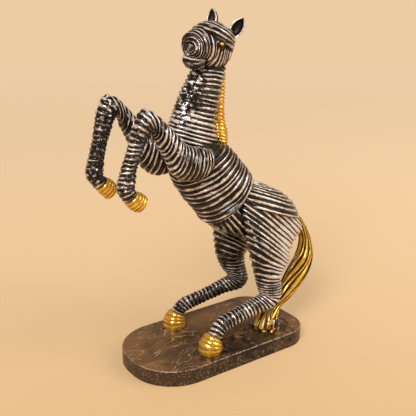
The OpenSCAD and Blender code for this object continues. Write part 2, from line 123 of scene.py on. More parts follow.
def even(count, whole=1.0):
    """Even steps from nothing towards a whole."""
    return linspace(0, whole, count, endpoint=False)


def direction(ways):
    """The ways scaled to a length of one."""
    return ways / maximum(np.linalg.norm(ways, axis=-1, keepdims=True), 1e-15)


def run_along(points):
    """How far along a line each of its points lies."""
    return join([[0], np.cumsum(np.linalg.norm(np.diff(points, axis=0), axis=1))])


def bell(angle, middle, spread):
    """A bell round a middle angle in degrees: e to minus the square of the way off over the spread."""
    off = (angle - radians(middle) + pi) % (2 * pi) - pi
    return exp(-(off / spread) ** 2)


def ripple(x, seed, waves, amount):
    """A smooth random line over x: seven sines of unlike lengths, scaled to an amount."""
    rng = np.random.default_rng(seed)
    rates = waves * rng.uniform(0.5, 1.6, 7)
    phases = rng.uniform(0, 2 * pi, 7)
    return amount * sin(2 * pi * (np.asarray(x)[..., None] * rates + phases)).sum(-1) / 2.6


def lumps(points, cell, seed):
    """Noise from -1 to 1 at points: random values at the corners of cells, blended by the smooth step."""
    table = np.random.default_rng(seed).uniform(-1, 1, (16, 16, 16))
    place = points / cell
    i = np.floor(place).astype(int)
    f = place - i
    f = f * f * (3 - 2 * f)
    total = 0
    for corner in np.ndindex(2, 2, 2):
        weight = np.abs(1 - array(corner) - f)
        x, y, z = np.moveaxis((i + corner) % 16, -1, 0)
        total = total + weight[..., 0] * weight[..., 1] * weight[..., 2] * table[x, y, z]
    return total


def turn(axis, degrees):
    """The matrix that turns a point by an angle about one axis."""
    return array(Matrix.Rotation(radians(degrees), 3, axis))


def in_frame(points, frame_at):
    """The points turned by the frame's axes and moved to its place, or as they are."""
    return points @ frame_at[0].T + frame_at[1] if frame_at else points


# Sections

def real(shares, half=unit, tilt=None, base=plinth_t):
    """The share rows in metres: sides times the half stance, the rest times the unit, and heights over a
    base. Rows that leave out the side and the tilt lie in the middle and share one tilt."""
    rows = array(shares, float)
    if tilt is not None:
        rows = np.insert(rows, [1, 2], [0, tilt], axis=1)
    rows[:, [0, 2, 4, 5]] *= unit
    rows[:, 1] *= half
    rows[:, 2] += base
    return rows


# Each row is one section of a form: how far back, how far to the side, how high above the plinth, the
# section's tilt in degrees, its half depth and its half width. The legs' sides are shares of half their
# stance, and the rest but the tilts are in units. The face, the jaw and the crown lie in axes of their own.
forms = {}
forms["barrel"] = real([
    [-8.8, 0, 63.5, 18, 6.4, 5.6], [-6.6, 0, 60.3, 21, 8.4, 7.4], [-3.6, 0, 56.1, 26, 10.2, 8.4],
    [-0.4, 0, 51.9, 30, 10.6, 8.6], [3, 0, 47.9, 35, 10.6, 8.6], [6, 0, 43.9, 43, 10.4, 8.4]])
forms["pelvis"] = real([
    [18.4, 40.3, 13, 7], [15.2, 39.5, 15.5, 7.4], [11.2, 38, 14.4, 8.1], [6.8, 37.1, 12.1, 7.6],
    [2.2, 37.8, 8.5, 6.2], [-0.3, 37.6, 5, 4.3], [-1.4, 37.3, 2, 2]], tilt=130)
forms["croup"] = real([
    [18.9, 38.8, 15.3, 11.8], [19, 40.9, 14.5, 11.1], [18.8, 42.9, 13.3, 10], [18.2, 44.7, 11.8, 8.6],
    [17.2, 46.4, 9.4, 6.8], [15.4, 47.9, 6.4, 4.6], [14.2, 48.8, 3, 2.4]], tilt=160)
forms["neck"] = real([
    [-5.4, 0, 60, 163, 10.9, 7.6], [-6.3, 0, 64.2, 162, 9, 6.5], [-6.2, 0, 68.3, 164, 7.5, 5.6],
    [-5.1, 0, 72.3, 167, 7, 5], [-3.7, 0, 76.3, 169, 6.5, 4.6], [-2.1, 0, 79.9, 171, 6, 4.2],
    [-0.9, 0, 82.7, 172, 5.5, 4], [0.2, 0, 86.3, 176, 4, 3.2]])
forms["mane"] = real([
    [4.4, 0, 81.9, 173, 0.7, 1], [3.2, 0, 77.1, 172, 1.6, 1.4], [2.6, 0, 72.7, 170, 2, 1.7],
    [2.6, 0, 68.7, 167, 2.2, 2], [3.2, 0, 65.1, 165, 2.6, 2.2], [3.8, 0, 61.9, 160, 2.2, 1.8],
    [4.6, 0, 59.3, 155, 0.8, 1]])
tail_rows = real([
    [32.4, 1.3, 33.9, 210, 1.2, 1.2], [34.6, 1.7, 31.7, 198, 1.3, 1.3], [35.8, 2.4, 28.5, 190, 1.7, 1.7],
    [36.6, 3.2, 24.7, 178, 2.1, 2.2], [36, 4, 20.3, 165, 2.9, 3], [33.4, 4.8, 16.3, 145, 3.6, 3.4],
    [29.4, 5.6, 12.5, 132, 3.6, 3.2], [25.2, 6.4, 9.1, 135, 2.7, 2.6], [21.8, 6.8, 6.3, 140, 1.6, 1.7],
    [19.2, 7.2, 4.3, 150, 2.2, 2.6], [18, 7.2, 2.3, 160, 3.6, 4],
    [17, 7, 0, 180, 4.8, 5.2]], -unit)
forms["fore_left"] = real([
    [-4, 0.62, 58.7, 82, 1.2, 1.6], [-5.6, 0.69, 58.5, 80, 3.4, 3], [-8.6, 0.77, 58.3, 76, 4.6, 3.8],
    [-12.6, 0.83, 58.9, 70, 5, 4], [-16.4, 0.88, 60.7, 64, 4.6, 3.8], [-19.2, 0.92, 64.5, 63, 3.8, 3.4],
    [-22, 0.92, 68.2, 66, 3.3, 3], [-24.4, 0.92, 71.3, 88, 3.2, 2.8], [-26.4, 0.92, 72.5, 116, 3.3, 2.7],
    [-28.2, 0.92, 70.2, 140, 2.7, 2.6], [-29.4, 0.92, 67.3, 158, 2.4, 2.3],
    [-30.8, 0.92, 63.9, 168, 2.2, 2.1], [-32.2, 0.92, 60.3, 172, 2.2, 2.2],
    [-33.2, 0.92, 56.5, 170, 2.5, 2.5], [-33.2, 0.92, 54.7, 190, 2.4, 2.3],
    [-32, 0.92, 52.9, 222, 2.1, 2.1]], -fore_stance / 2)
forms["fore_right"] = real([
    [-4, 0.62, 58.7, 82, 1.2, 1.6], [-5.6, 0.69, 58.5, 80, 3.4, 3], [-8.6, 0.77, 57.9, 76, 5, 3.8],
    [-12.8, 0.83, 58.1, 70, 6, 4.2], [-16.8, 0.92, 60.5, 66, 5.2, 4], [-19.6, 1, 64.9, 66, 4, 3.6],
    [-22.2, 1.08, 69.1, 74, 3.5, 3], [-24.6, 1.08, 72.5, 96, 3.5, 2.8], [-26.8, 1.08, 73.9, 118, 3.5, 2.7],
    [-28.6, 1.08, 71.3, 143, 3, 2.6], [-29.6, 1.08, 67.9, 158, 2.6, 2.5], [-30.8, 1.08, 63.9, 166, 2.3, 2.3],
    [-32, 1.08, 59.7, 170, 2.4, 2.3], [-32.9, 1.08, 55.7, 168, 2.7, 2.6], [-32.5, 1.08, 53.9, 190, 2.5, 2.4],
    [-30.8, 1.08, 52.1, 222, 2.3, 2.2]], fore_stance / 2)
forms["fore_hoof_left"] = real([
    [-32, 0.92, 52.9, 222, 2.2, 2.2], [-30.4, 0.92, 51.6, 227, 2.7, 2.6],
    [-28.8, 0.92, 50.3, 229, 2.5, 2.5]], -fore_stance / 2)
forms["fore_hoof_right"] = real([
    [-30.8, 1.08, 52.1, 222, 2.4, 2.3], [-29.2, 1.08, 50.6, 224, 2.7, 2.6],
    [-27.7, 1.08, 49, 226, 2.6, 2.5]], fore_stance / 2)
forms["hind_left"] = real([
    [25.4, 0.44, 38.2, 138, 11, 3.6], [23.4, 0.48, 37.4, 138, 12.6, 4.2], [20.6, 0.54, 36.6, 138, 13, 4.6],
    [17.8, 0.62, 35.6, 138, 14, 4.7], [15.6, 0.76, 33, 138, 13, 5.2], [15.1, 0.92, 28.6, 140, 10.6, 5.6],
    [14.6, 0.97, 24.6, 146, 7.9, 5], [14.7, 0.98, 21.1, 158, 5.5, 4.4], [15.1, 0.98, 18.9, 170, 4.6, 4.1],
    [15.7, 0.98, 15.7, 174, 4.2, 3.7], [16.4, 0.98, 12.9, 168, 4, 3.5], [15.4, 0.98, 10.9, 136, 3.5, 3.2],
    [11.6, 0.98, 10, 110, 2.9, 2.7], [6, 0.98, 9.2, 100, 2.6, 2.6], [0.8, 0.98, 8.3, 100, 2.5, 2.5],
    [-2.4, 0.98, 7.5, 112, 2.5, 2.5], [-4, 0.98, 6.1, 130, 2.3, 2.3],
    [-5.4, 0.98, 4.1, 142, 2.3, 2.3]], -hind_stance / 2)
forms["hind_right"] = real([
    [25.2, 0.44, 37.8, 138, 11, 3.6], [23.2, 0.48, 36.8, 138, 12.4, 4.2], [20.4, 0.54, 35.8, 138, 12.4, 4.6],
    [17.8, 0.64, 34.6, 138, 13, 4.8], [15.8, 0.8, 31.4, 138, 11.2, 5.4], [14.9, 0.94, 26.6, 142, 8.8, 5.4],
    [14.6, 0.98, 22.7, 150, 6.7, 4.9], [14.8, 0.99, 20.6, 158, 6, 4.6], [15.1, 1, 18.8, 166, 5.4, 4.4],
    [16.4, 1.02, 15.1, 170, 4.7, 4], [18.2, 1.02, 11.4, 160, 4.3, 3.7], [17, 1.02, 9.3, 134, 3.6, 3.2],
    [12.4, 1.02, 9, 108, 2.7, 2.5], [6.4, 1.02, 8.1, 99, 2.3, 2.3], [0.8, 1.02, 7.3, 99, 2.3, 2.3],
    [-3.2, 1.04, 6.5, 110, 2.4, 2.4], [-4.8, 1.06, 5.5, 130, 2.3, 2.3],
    [-6, 1.06, 4.1, 145, 2.4, 2.4]], hind_stance / 2)
forms["hind_hoof_left"] = real([
    [-5.4, 0.98, 4.1, 142, 2.8, 2.8], [-6.6, 0.98, 2.1, 160, 3.7, 3.6],
    [-7, 0.98, 0, 180, 3.8, 3.7]], -hind_stance / 2)
forms["hind_hoof_right"] = real([
    [-6, 1.06, 4.1, 145, 2.9, 2.9], [-7, 1.06, 2.1, 162, 3.7, 3.6],
    [-7.2, 1.06, 0, 180, 3.8, 3.7]], hind_stance / 2)
forms["face"] = real([
    [-4.8, -1.4, 1.8, 1.6], [-4, -1.4, 4, 3.4], [-2.4, -1.6, 5.5, 4.7], [0.6, -1.7, 6.7, 5.3],
    [3.2, -1.3, 6.9, 5.4], [5.4, -0.7, 5.8, 5], [7.2, 0, 4.9, 4.7], [8.8, 0.4, 4.5, 4.5],
    [10.2, 0.4, 3.9, 4.2], [11.2, 0.2, 3.1, 3.4], [11.9, 0, 2, 2.4], [12.2, 0, 0.8, 1]], tilt=90, base=0)
forms["jaw"] = real([
    [8.9, -6, 1.4, 1.2], [9, -5.6, 2.5, 2.2], [9.2, -4.8, 3.1, 2.9], [9.4, -3.8, 3.4, 3.2],
    [9.5, -2.7, 3.4, 3.3]], tilt=0, base=0)
forms["crown"] = real([
    [0.5, -2.6, 4.9, 3.4], [0.6, -1.4, 6.8, 4.9], [0.6, 0, 7.7, 5.7], [0.1, 1.2, 7.2, 5.6],
    [-0.2, 2.4, 6.5, 5.2], [-0.5, 3.4, 5.4, 4.4], [-0.8, 4.2, 3.9, 3.2],
    [-1, 4.7, 2, 1.8]], tilt=0, base=0)

# Rows where each length of a leg ends, and where the tail's tuft begins
knee_index = 8
fore_fetlock_index = 13
stifle_index = 8
hock_index = 10
hind_fetlock_index = 15
tail_end_index = 9

# The upper legs alone, beside which the trunk's paint is darker, as painted shade in the crease
for side in ("left", "right"):
    forms[f"arm_{side}"] = forms[f"fore_{side}"][:knee_index + 1]
    forms[f"thigh_{side}"] = forms[f"hind_{side}"][:stifle_index + 1]
arms = ("arm_left", "arm_right")
thighs = ("thigh_left", "thigh_right")

# Places of the head on the neck, of the crown, the ears and the eyes on the head
head_place = array([1.4, 0, 90.4]) * unit + [0, 0, plinth_t]
crown_place = array([0.6, 0, 0.9]) * unit
ear_place = array([-2.5, 3.6, 2.2]) * unit
eye_place = array([3.9, 4.8, 1.2]) * unit

# Each ear: its side, how far it is turned, and how long it is
ears = {"left": (1, 30, 0.0150), "right": (-1, 6, 0.0163)}

# Each row of an ear: the share of its length, of its width, and how hollow it is
ear_rows = array([
    [0, 0.3, 0], [0.2, 0.44, 0.9], [0.4, 0.5, 1.4], [0.6, 0.48, 1.4], [0.82, 0.34, 1],
    [1, 0.1, 0]])

# The head's own axes, its first to the nose, and the crown's, which lean back from them
head_axes = turn("Z", 180 + head_turn) @ turn("Y", head_dip) @ turn("X", -head_lean)
head_at = head_axes, head_place
crown_at = head_axes @ turn("Y", -crown_lean), head_place + head_axes @ crown_place
frames = {"face": head_at, "jaw": head_at, "crown": crown_at}


def section(rows, place):
    """The row at each place along a table: a smooth cubic through the four rows round it."""
    last = len(rows) - 1
    i = np.clip(np.floor(place).astype(int), 0, last - 1)
    f = (place - i)[..., None]
    a, b, c, d = rows[maximum(i - 1, 0)], rows[i], rows[i + 1], rows[minimum(i + 2, last)]
    return (2 * b + (c - a) * f + (2 * a - 5 * b + 4 * c - d) * f ** 2 + (3 * b - a - 3 * c + d) * f ** 3) / 2


def rim(row, angle, depth=0):
    """A section's point at an angle, drawn in by a depth: middle plus the half sizes less the depth,
    times the cosine along the section's tilt and times the sine to the side."""
    tilt = radians(row[..., 3])
    along = (row[..., 4] - depth) * cos(angle)
    return stack([
        row[..., 0] + along * cos(tilt),
        row[..., 1] + (row[..., 5] - depth) * sin(angle),
        row[..., 2] + along * sin(tilt)], -1)


def surface(rows, place, angle):
    """A form's smooth surface at places and angles, and its outward normal: the cross product of the ways
    round and along it, turned outwards, or the way out from the middle where a tight bend folds it."""
    row = section(rows, place)
    point = rim(row, angle)
    tilt = radians(row[..., 3])
    swing = -row[..., 4] * sin(angle)
    round_way = stack([swing * cos(tilt), row[..., 5] * cos(angle), swing * sin(tilt)], -1)
    along = rim(section(rows, place + 0.02), angle) - rim(section(rows, place - 0.02), angle)
    normal = direction(np.cross(round_way, along))
    out = direction(point - row[..., :3])
    if (normal * out).sum() < 0:
        normal = -normal
    facing = (normal * out).sum(-1, keepdims=True)
    return point, np.where(facing < -0.2, out, normal)


# Meshes

def cells(grid):
    """The four corners of each cell of a grid."""
    corners = stack([grid[:-1, :-1], grid[1:, :-1], grid[1:, 1:], grid[:-1, 1:]], 2)
    return corners.reshape(-1, *corners.shape[2:])


def tips(grid):
    """The triangles at a grid's two ends, where its first row and its last are one point each."""
    return [stack([grid[0, :-1], grid[1, :-1], grid[1, 1:]], 1),
            stack([grid[-2, :-1], grid[-1, :-1], grid[-2, 1:]], 1)]


def outward(points, faces):
    """Whether the faces point outwards, by the sign of the volume that their fans enclose."""
    volume = 0
    for corners in faces:
        for j in range(1, corners.shape[1] - 1):
            a, b, c = (points[corners[:, i]] for i in (0, j, j + 1))
            volume += (a * np.cross(b, c)).sum()
    return volume > 0


def make_piece(name, parts, node, material):
    """One mesh of several closed parts: each is its points, its lists of faces with alike corner counts,
    their corners' coordinates on the cord, its points' shade, and how far they are rubbed."""
    corners, counts, cord = [], [], []
    start = 0
    for part in parts:
        way = 1 if outward(part["points"], part["faces"]) else -1
        for faces, coords in zip(part["faces"], part["cord"]):
            corners.append((faces[:, ::way] + start).ravel())
            counts.append(full(len(faces), faces.shape[1]))
            cord.append(coords[:, ::way].reshape(-1, 2))
        start += len(part["points"])
    corners, counts = join(corners), join(counts)
    mesh = bpy.data.meshes.new(name)
    mesh.vertices.add(start)
    mesh.vertices.foreach_set("co", join([part["points"] for part in parts]).astype(np.float32).ravel())
    mesh.loops.add(len(corners))
    mesh.loops.foreach_set("vertex_index", corners.astype(np.int32))
    mesh.polygons.add(len(counts))
    mesh.polygons.foreach_set("loop_start", (np.cumsum(counts) - counts).astype(np.int32))
    mesh.polygons.foreach_set("use_smooth", np.ones(len(counts), bool))
    layer = mesh.uv_layers.new(name="cord")
    layer.data.foreach_set("uv", join(cord).astype(np.float32).ravel())
    for label in ("shade", "rubbed"):
        layer = mesh.attributes.new(label, "FLOAT", "POINT")
        layer.data.foreach_set("value", join([part[label] for part in parts]).astype(np.float32))
    mesh.update(calc_edges=True)
    mesh.materials.append(material)
    piece = bpy.data.objects.new(name, mesh)
    bpy.context.scene.collection.objects.link(piece)
    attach(piece, "root")
    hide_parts(node)


# Painted shade where forms meet, with less paint in the crease

def skin(name, steps=40, around=56):
    """Points of a smooth form, as a cloud."""
    rows = forms[name]
    place = linspace(0, len(rows) - 1, steps)[:, None]
    angle = even(around, 2 * pi)[None, :]
    return in_frame(rim(section(rows, place + 0 * angle), angle).reshape(-1, 3), frames.get(name))


def nearness(points, cloud, reach):
    """How near each point is to a cloud: one at it, falling to nothing at the reach."""
    low, high = cloud.min(0) - reach, cloud.max(0) + reach
    near_by = np.all((points > low) & (points < high), -1)
    found = zeros(len(points))
    inside = points[near_by]
    best = full(len(inside), np.inf)
    for piece in np.array_split(cloud, max(1, len(cloud) // 400)):
        gap = ((inside[:, None, :] - piece[None]) ** 2).sum(-1).min(1)
        best = minimum(best, gap)
    found[near_by] = held(1 - np.sqrt(best) / reach)
    return found


def painted(name, clouds, reach, steps=90, around=72):
    """The function that gives how dark a form is at places and angles where clouds come near it, blended
    from a grid's four nearest values."""
    points = skin(name, steps, around)
    dark = zeros(len(points))
    for cloud in clouds:
        dark = maximum(dark, nearness(points, cloud, reach))
    grid = dark.reshape(steps, around)

    def darkness(place, angle):
        x = held(place / (len(forms[name]) - 1)) * (steps - 1)
        y = np.mod(angle / (2 * pi), 1) * around
        i, j = minimum(x.astype(int), steps - 2), y.astype(int)
        f, g = x - i, y - j
        j, k = j % around, (j + 1) % around
        return (grid[i, j] * (1 - f) * (1 - g) + grid[i + 1, j] * f * (1 - g)
                + grid[i, k] * (1 - f) * g + grid[i + 1, k] * f * g)
    return darkness


def near(name, others, reach=crease):
    """The painted shade of a form beside the named ones, where less paint reaches too."""
    return painted(name, [skin(other) for other in others], reach)


# Wound forms

def winding(name, inner_stops, counts, seed, wander=0.18):
    """The function from turns passed to places along a form's table. Each stretch between two stops holds
    its count of turns, even by the way along the middle and the half depth. A smooth random line, nothing
    at both ends, makes the turns wander."""
    rows = forms[name]
    stops = [0, *inner_stops, len(rows) - 1]
    turn_marks, place_marks = [zeros(1)], [zeros(1)]
    for start, end, count in zip(stops[:-1], stops[1:], counts):
        places = linspace(start, end, 8 * int(np.ceil(end - start)) + 1)
        way = run_along(section(rows, places)[:, [0, 1, 2, 4]])[1:]
        turn_marks.append(turn_marks[-1][-1] + count * way / way[-1])
        place_marks.append(places[1:])
    turn_marks, place_marks = join(turn_marks), join(place_marks)
    total = sum(counts)

    def line(passed):
        ease = held(minimum(passed, total - passed) / 1.2)
        stray = ripple(passed, seed, 1.3, wander) + ripple(passed, seed + 1, 4.5, wander / 4)
        return np.interp(passed + ease * stray, turn_marks, place_marks)
    return line


def wound(name, line, first_turn, last_turn, around, groove, seed, across=12, lift=None, dents=0.00012,
          shade=None, press=None, rubbed=None):
    """A form wound with one unbroken cord. Step k of the helix lies at angle 2 pi k / around and at the
    line's place for the turns passed, which stands still beyond the first turn and the last. The cord spans
    from there to the place one turn on, and lies under the form's surface by the groove times one less a
    power of the sine across it. Its height wanders and ends in nothing, and small dents cover it. Where it
    is rubbed, it is flatter and lumpier. The flat ends count as the cord's middle."""
    rows = forms[name]
    turns = last_turn - first_turn
    steps = turns * around
    columns = steps + around + 1
    k = arange(-around, steps + around + 1)
    place = line(first_turn + np.clip(k / around, 0, turns))
    angle = 2 * pi * k / around
    left, right = place[:columns], place[around:]
    v = arange(1, across) / across
    m = arange(columns)
    passed = first_turn + np.clip(m / around - 1, 0, turns)
    width = held(minimum(m, columns - 1 - m) / around)
    thick = right - left
    span = 2 * around + 1
    usual = np.convolve(np.pad(thick, around, mode="edge"), full(span, 1 / span), "valid")
    odd = np.clip(thick / maximum(usual, 1e-9) - 1, -1, 1)
    height = width * (1 + ripple(passed, seed + 2, 2.2, height_wander) + height_by_thickness * odd)
    ridge = sin(pi * v)[None, :] ** crest_power
    raised = 0 if lift is None else (lift(passed) * width)[:, None] * ridge
    depth = (groove * (1 - ridge * height[:, None]) - raised)[1:-1]
    body_place = (left[:, None] * (1 - v) + right[:, None] * v)[1:-1]
    body_angle = angle[:columns, None][1:-1] + 0 * body_place

    def everywhere(along, body):
        return join([along[around:-around], body.ravel(), along[1:around], along[-around:-1]])
    all_place, all_angle = everywhere(place, body_place), everywhere(angle, body_angle)
    all_depth = everywhere(full(len(k), groove), depth)
    crest = everywhere(zeros(len(k)), 0 * depth + ridge)
    smooth, out = surface(rows, all_place, all_angle)
    bumps = lumps(smooth, dent_size, seed) * 0.6 + lumps(smooth, small_dent_size, seed + 3) * 0.4
    worn_down = zeros(len(smooth)) if rubbed is None else rubbed(smooth, all_place, all_angle)
    all_depth = all_depth * (1 - 0.7 * worn_down) + 0.25 * groove * worn_down
    moved = dents * bumps * (0.3 + 0.7 * crest) + rubbed_lump * worn_down * bumps - all_depth
    if press is not None:
        moved = moved + press(smooth)
    body_start = steps + 1
    ring_start = body_start + body_place.size
    ring = arange(around - 1)
    low = join([[0], ring_start + ring, arange(steps + 1), ring_start + around - 1 + ring, [steps]])
    grid = np.empty((columns, across + 1), int)
    grid[:, 0], grid[:, across] = low[:columns], low[around:]
    grid[1:-1, 1:across] = body_start + arange(body_place.size).reshape(body_place.shape)
    grid[0], grid[-1] = 0, steps
    caps = stack([low[:around][::-1], low[around + steps:-1]])
    run = run_along(rim(section(rows, (left + right) / 2), angle[:columns]))
    chart = stack(np.meshgrid(run, arange(across + 1) / across, indexing="ij"), -1)
    return {
        "points": in_frame(smooth + out * moved[:, None], frames.get(name)),
        "faces": [cells(grid[1:-1]), *tips(grid), caps],
        "cord": [cells(chart[1:-1]), *tips(chart), full(caps.shape + (2,), 0.5)],
        "shade": zeros(len(smooth)) if shade is None else shade(all_place, all_angle),
        "rubbed": worn_down}


def tube(points, shade, coords_u, coords_v):
    """A closed tube from a grid of points, rings by corners, with a cap at each end that counts as the
    cord's groove. Where the coordinate across starts again at nothing, the cell before ends at one."""
    rings, around = points.shape[:2]
    index = arange(rings * around).reshape(rings, around)
    after = np.roll(index, -1, axis=1)
    quads = stack([index[:-1], after[:-1], after[1:], index[1:]], -1).reshape(-1, 4)
    caps = stack([index[0, ::-1], index[-1]])
    low, high = coords_v, np.roll(coords_v, -1)
    high = np.where(high < low - 0.5, 1.0, high)
    here, beyond = coords_u[:-1, None], coords_u[1:, None]
    chart = stack([stack(np.broadcast_arrays(u, v), -1) for u, v in (
        (here, low), (here, high), (beyond, high), (beyond, low))], 2).reshape(-1, 4, 2)
    return {
        "points": points.reshape(-1, 3), "faces": [quads, caps], "cord": [chart, zeros(caps.shape + (2,))],
        "shade": shade.ravel(), "rubbed": zeros(rings * around)}


def twisted(start, end, rings, strands, across, depth_share, twist_from, twist_to, seed, split=0.0):
    """A stretch of the tail as strands that twist round it. Each lies between two bounds, at even shares of
    the circle plus a wander and the twist. Across it the angle moves by half of one less the cosine, and the
    depth is a share of the section times one less the sine, which a split makes grow towards the end."""
    place = linspace(start, end, rings)
    rng = np.random.default_rng(seed)
    spread = (arange(strands) + rng.uniform(-0.28, 0.28, strands)) / strands
    share = (place - start) / (end - start)
    wander = stack([ripple(share, seed + 7 * i, 1.4, 0.22 / strands) for i in range(strands)], 1)
    twist = radians(twist_from + (twist_to - twist_from) * share)[:, None]
    low = 2 * pi * (spread[None, :] + wander) + twist
    high = join([low[:, 1:], low[:, :1] + 2 * pi], 1)
    f = arange(across) / across
    mix = (1 - cos(pi * f)) / 2
    angle = (low[..., None] * (1 - mix) + high[..., None] * mix).reshape(rings, -1)
    heights = 1 + stack([ripple(share, seed + 100 + i, 1.8, 0.22) for i in range(strands)], 1)
    ridge = minimum(sin(pi * f) ** 0.8 * heights[..., None], 1).reshape(rings, -1)
    row = section(tail_rows, np.broadcast_to(place[:, None], angle.shape))
    size = minimum(row[..., 4], row[..., 5])
    points = rim(row, angle, (depth_share + split * share[:, None] ** 1.5) * size * (1 - ridge))
    out = points - row[..., :3]
    points = points + out * (0.008 * lumps(points, 0.003, seed) - 0.008)[..., None]
    run = run_along(section(tail_rows, place)[:, :3])
    return tube(points, zeros(angle.shape), run, np.tile(f, strands))


def round_end(x):
    """How wide a tube is where it closes as a circle does, over x from 0 to 1."""
    return np.sqrt(np.clip(1 - held(x) ** 2, 0.004, 1))


def lock(i, start):
    """One lock of the tuft: a tube from a share of the way down the tuft's flank to its foot, whose half
    width grows with that share and closes in round ends."""
    rng = np.random.default_rng(300 + i)
    rings, around = 40, 20
    share = linspace(start, 1, rings)
    angle = 2 * pi * (i + rng.uniform(-0.2, 0.2)) / lock_count + 0.5 * (1 - share)
    first = tail_end_index - 0.5
    row = section(tail_rows, first + (len(tail_rows) - 1 - first) * held(share) * 0.98)
    reach = 1 - 0.30 * share * rng.uniform(0.8, 1.3)
    middle = rim(join([row[:, :4], row[:, 4:] * reach[:, None]], 1), angle)
    swell = 0.0012 + 0.0016 * share + (0.0024 * share if i in wide_locks else 0)
    half = swell * round_end((share - 0.88) / 0.12) * round_end((start + 0.08 - share) / 0.08)
    along = direction(np.gradient(middle, axis=0))
    side = direction(np.cross(along, [0, 0, 1.0]))
    out = np.cross(side, along)
    theta = even(around, 2 * pi)[None, :, None]
    points = middle[:, None] + half[:, None, None] * (
        cos(theta) * side[:, None] + 0.9 * sin(theta) * out[:, None])
    points[..., 2] = maximum(points[..., 2], plinth_t)
    # Darker towards the foot, where the lock meets the plinth: painted contact shade
    shade = np.repeat(held((share - 0.9) / 0.1) * 0.5, around)
    strand = tube(points, shade, share * 0.03, even(around))
    strand["cord"][0][..., 1] = 0.5 + 0.3 * sin(4 * pi * strand["cord"][0][..., 1])
    return strand


def ear_shape(side, spin, ear_len):
    """An ear. Its back is half an ellipse at each height. In front a round roll as wide as the rim runs
    along its edge, and the rest is a hollow, deepest in the middle by one less the squared way out."""
    rings, around = 60, 96
    share = linspace(0, 1, rings) ** 0.9
    row = section(ear_rows, (len(ear_rows) - 1) * share)
    angle = even(around, 2 * pi)[None, :]
    half_w = row[:, 1:2] * ear_w
    depth = half_w * ear_depth_share
    c, out = cos(angle), np.abs(sin(angle))
    hem = np.clip(1 - ear_rim / half_w, 0.1, 1)
    roll = 0.45 * ear_rim * np.sqrt(held(1 - ((out - (1 + hem) / 2) / ((1 - hem) / 2)) ** 2))
    hollow = -0.75 * depth * held(row[:, 2:3]) * held(1 - (out / hem) ** 2) ** 0.6
    x = np.where(c > 0, np.where(out > hem, roll, hollow), -depth * np.abs(c) ** 0.8)
    points = stack([x, half_w * sin(angle), row[:, 0:1] * ear_len + 0 * angle], -1)
    points[..., 0] += 0.00012 * lumps(points, 0.0016, 5)
    own = turn("X", -side * ear_splay) @ turn("Y", -ear_sweep) @ turn("Z", side * spin)
    points = in_frame(points @ own.T + ear_place * [1, side, 1], head_at)
    inner = np.where(c > 0, held((hem - out) / 0.12 + 0.3), 0.5) + 0 * share[:, None]
    leaf = tube(points, inner, share * ear_len, even(around))
    leaf["cord"][0][..., 1] = 0.5
    return leaf


def plinth_shape():
    """The slab: its outline is four corner arcs joined by straight runs, and its profile climbs the side and
    turns over the worn edge as a quarter circle. Each ring is the outline drawn in along its normals."""
    outline, normals = [], []
    half = array([plinth_len, plinth_w]) / 2
    for i, radius in enumerate((plinth_rear_r, plinth_rear_r, plinth_fore_r, plinth_fore_r)):
        angle = radians(90 * (i - 1) + linspace(0, 90, 60))
        normal = stack([cos(angle), sin(angle)], -1)
        outline.append(np.sign(normal[30]) * (half - radius) + radius * normal)
        normals.append(normal)
    corners, ways = join(outline), join(normals)
    apart = np.linalg.norm(np.roll(corners, -1, 0) - corners, axis=1) > 1e-6
    corners, ways = corners[apart], ways[apart]
    closed, turned = join([corners, corners[:1]]), join([ways, ways[:1]])
    reach = run_along(closed)
    along = even(720, reach[-1])
    line, way = (stack([np.interp(along, reach, column) for column in table.T], -1)
                 for table in (closed, turned))
    way = direction(way)
    arc = radians(linspace(0, 90, 9))
    top_in = plinth_edge_r * (1 - cos(arc))
    top_z = plinth_t - plinth_edge_r * (1 - sin(arc))
    side_z = linspace(plinth_foot_r, plinth_t - plinth_edge_r, 12)[:-1]
    inner_rings = top_in[-1] + [0.0006, 0.002, 0.005]
    inward = join([[plinth_foot_r * 6, plinth_foot_r], 0 * side_z, top_in, inner_rings])
    height = join([[0, 0], side_z, top_z, [plinth_t] * 3])
    ring = line[None] - way[None] * inward[:, None, None]
    points = join([ring, np.broadcast_to(height[:, None, None], ring.shape[:2] + (1,))], -1)
    side = ((inward == 0) * 1.0)[:, None]
    dent = 0.00018 * lumps(points, 0.012, 21) + 0.00010 * lumps(points, 0.0035, 22)
    points[..., :2] -= way[None] * (side * (np.abs(dent) + 0.00002))[..., None]
    # The worn edge, which the finish paints pale, partly as a painted highlight
    worn = exp(-((height - plinth_t + 0.0002) / 0.0007) ** 2) * exp(-(inward / 0.0016) ** 2)
    run = np.cumsum(np.abs(np.gradient(height)) + np.abs(np.gradient(inward)))
    return tube(points, np.repeat(worn, len(along)), run, even(len(along)))


# Shader building

class Wire:
    """An output of a shader node. Sums, differences and products of wires are Math nodes, and a key picks
    another output of the node."""

    def __init__(self, node, key=0):
        self.node, self.tree = node, node.id_data
        self.socket = node.outputs[key] if len(node.outputs) else None

    def __getitem__(self, key):
        return Wire(self.node, key)

    def __add__(self, other):
        return calc("ADD", self, other)

    def __sub__(self, other):
        return calc("SUBTRACT", self, other)

    def __mul__(self, other):
        return calc("MULTIPLY", self, other)


def feed(node, **inputs):
    """Links a node's inputs to wires or sets them to values. A name's underscores stand for spaces, and a
    name like in2 picks an input by its index."""
    for key, value in inputs.items():
        key = key.replace("_", " ")
        target = node.inputs[int(key[2:]) if key[2:].isdigit() else key]
        if isinstance(value, Wire):
            node.id_data.links.new(value.socket, target)
        else:
            target.default_value = value


def put(tree, kind, settings=None, **inputs):
    """A node of a kind with its settings and inputs, as a wire."""
    node = tree.nodes.new("ShaderNode" + kind)
    for key, value in (settings or {}).items():
        setattr(node, key, value)
    feed(node, **inputs)
    return Wire(node)


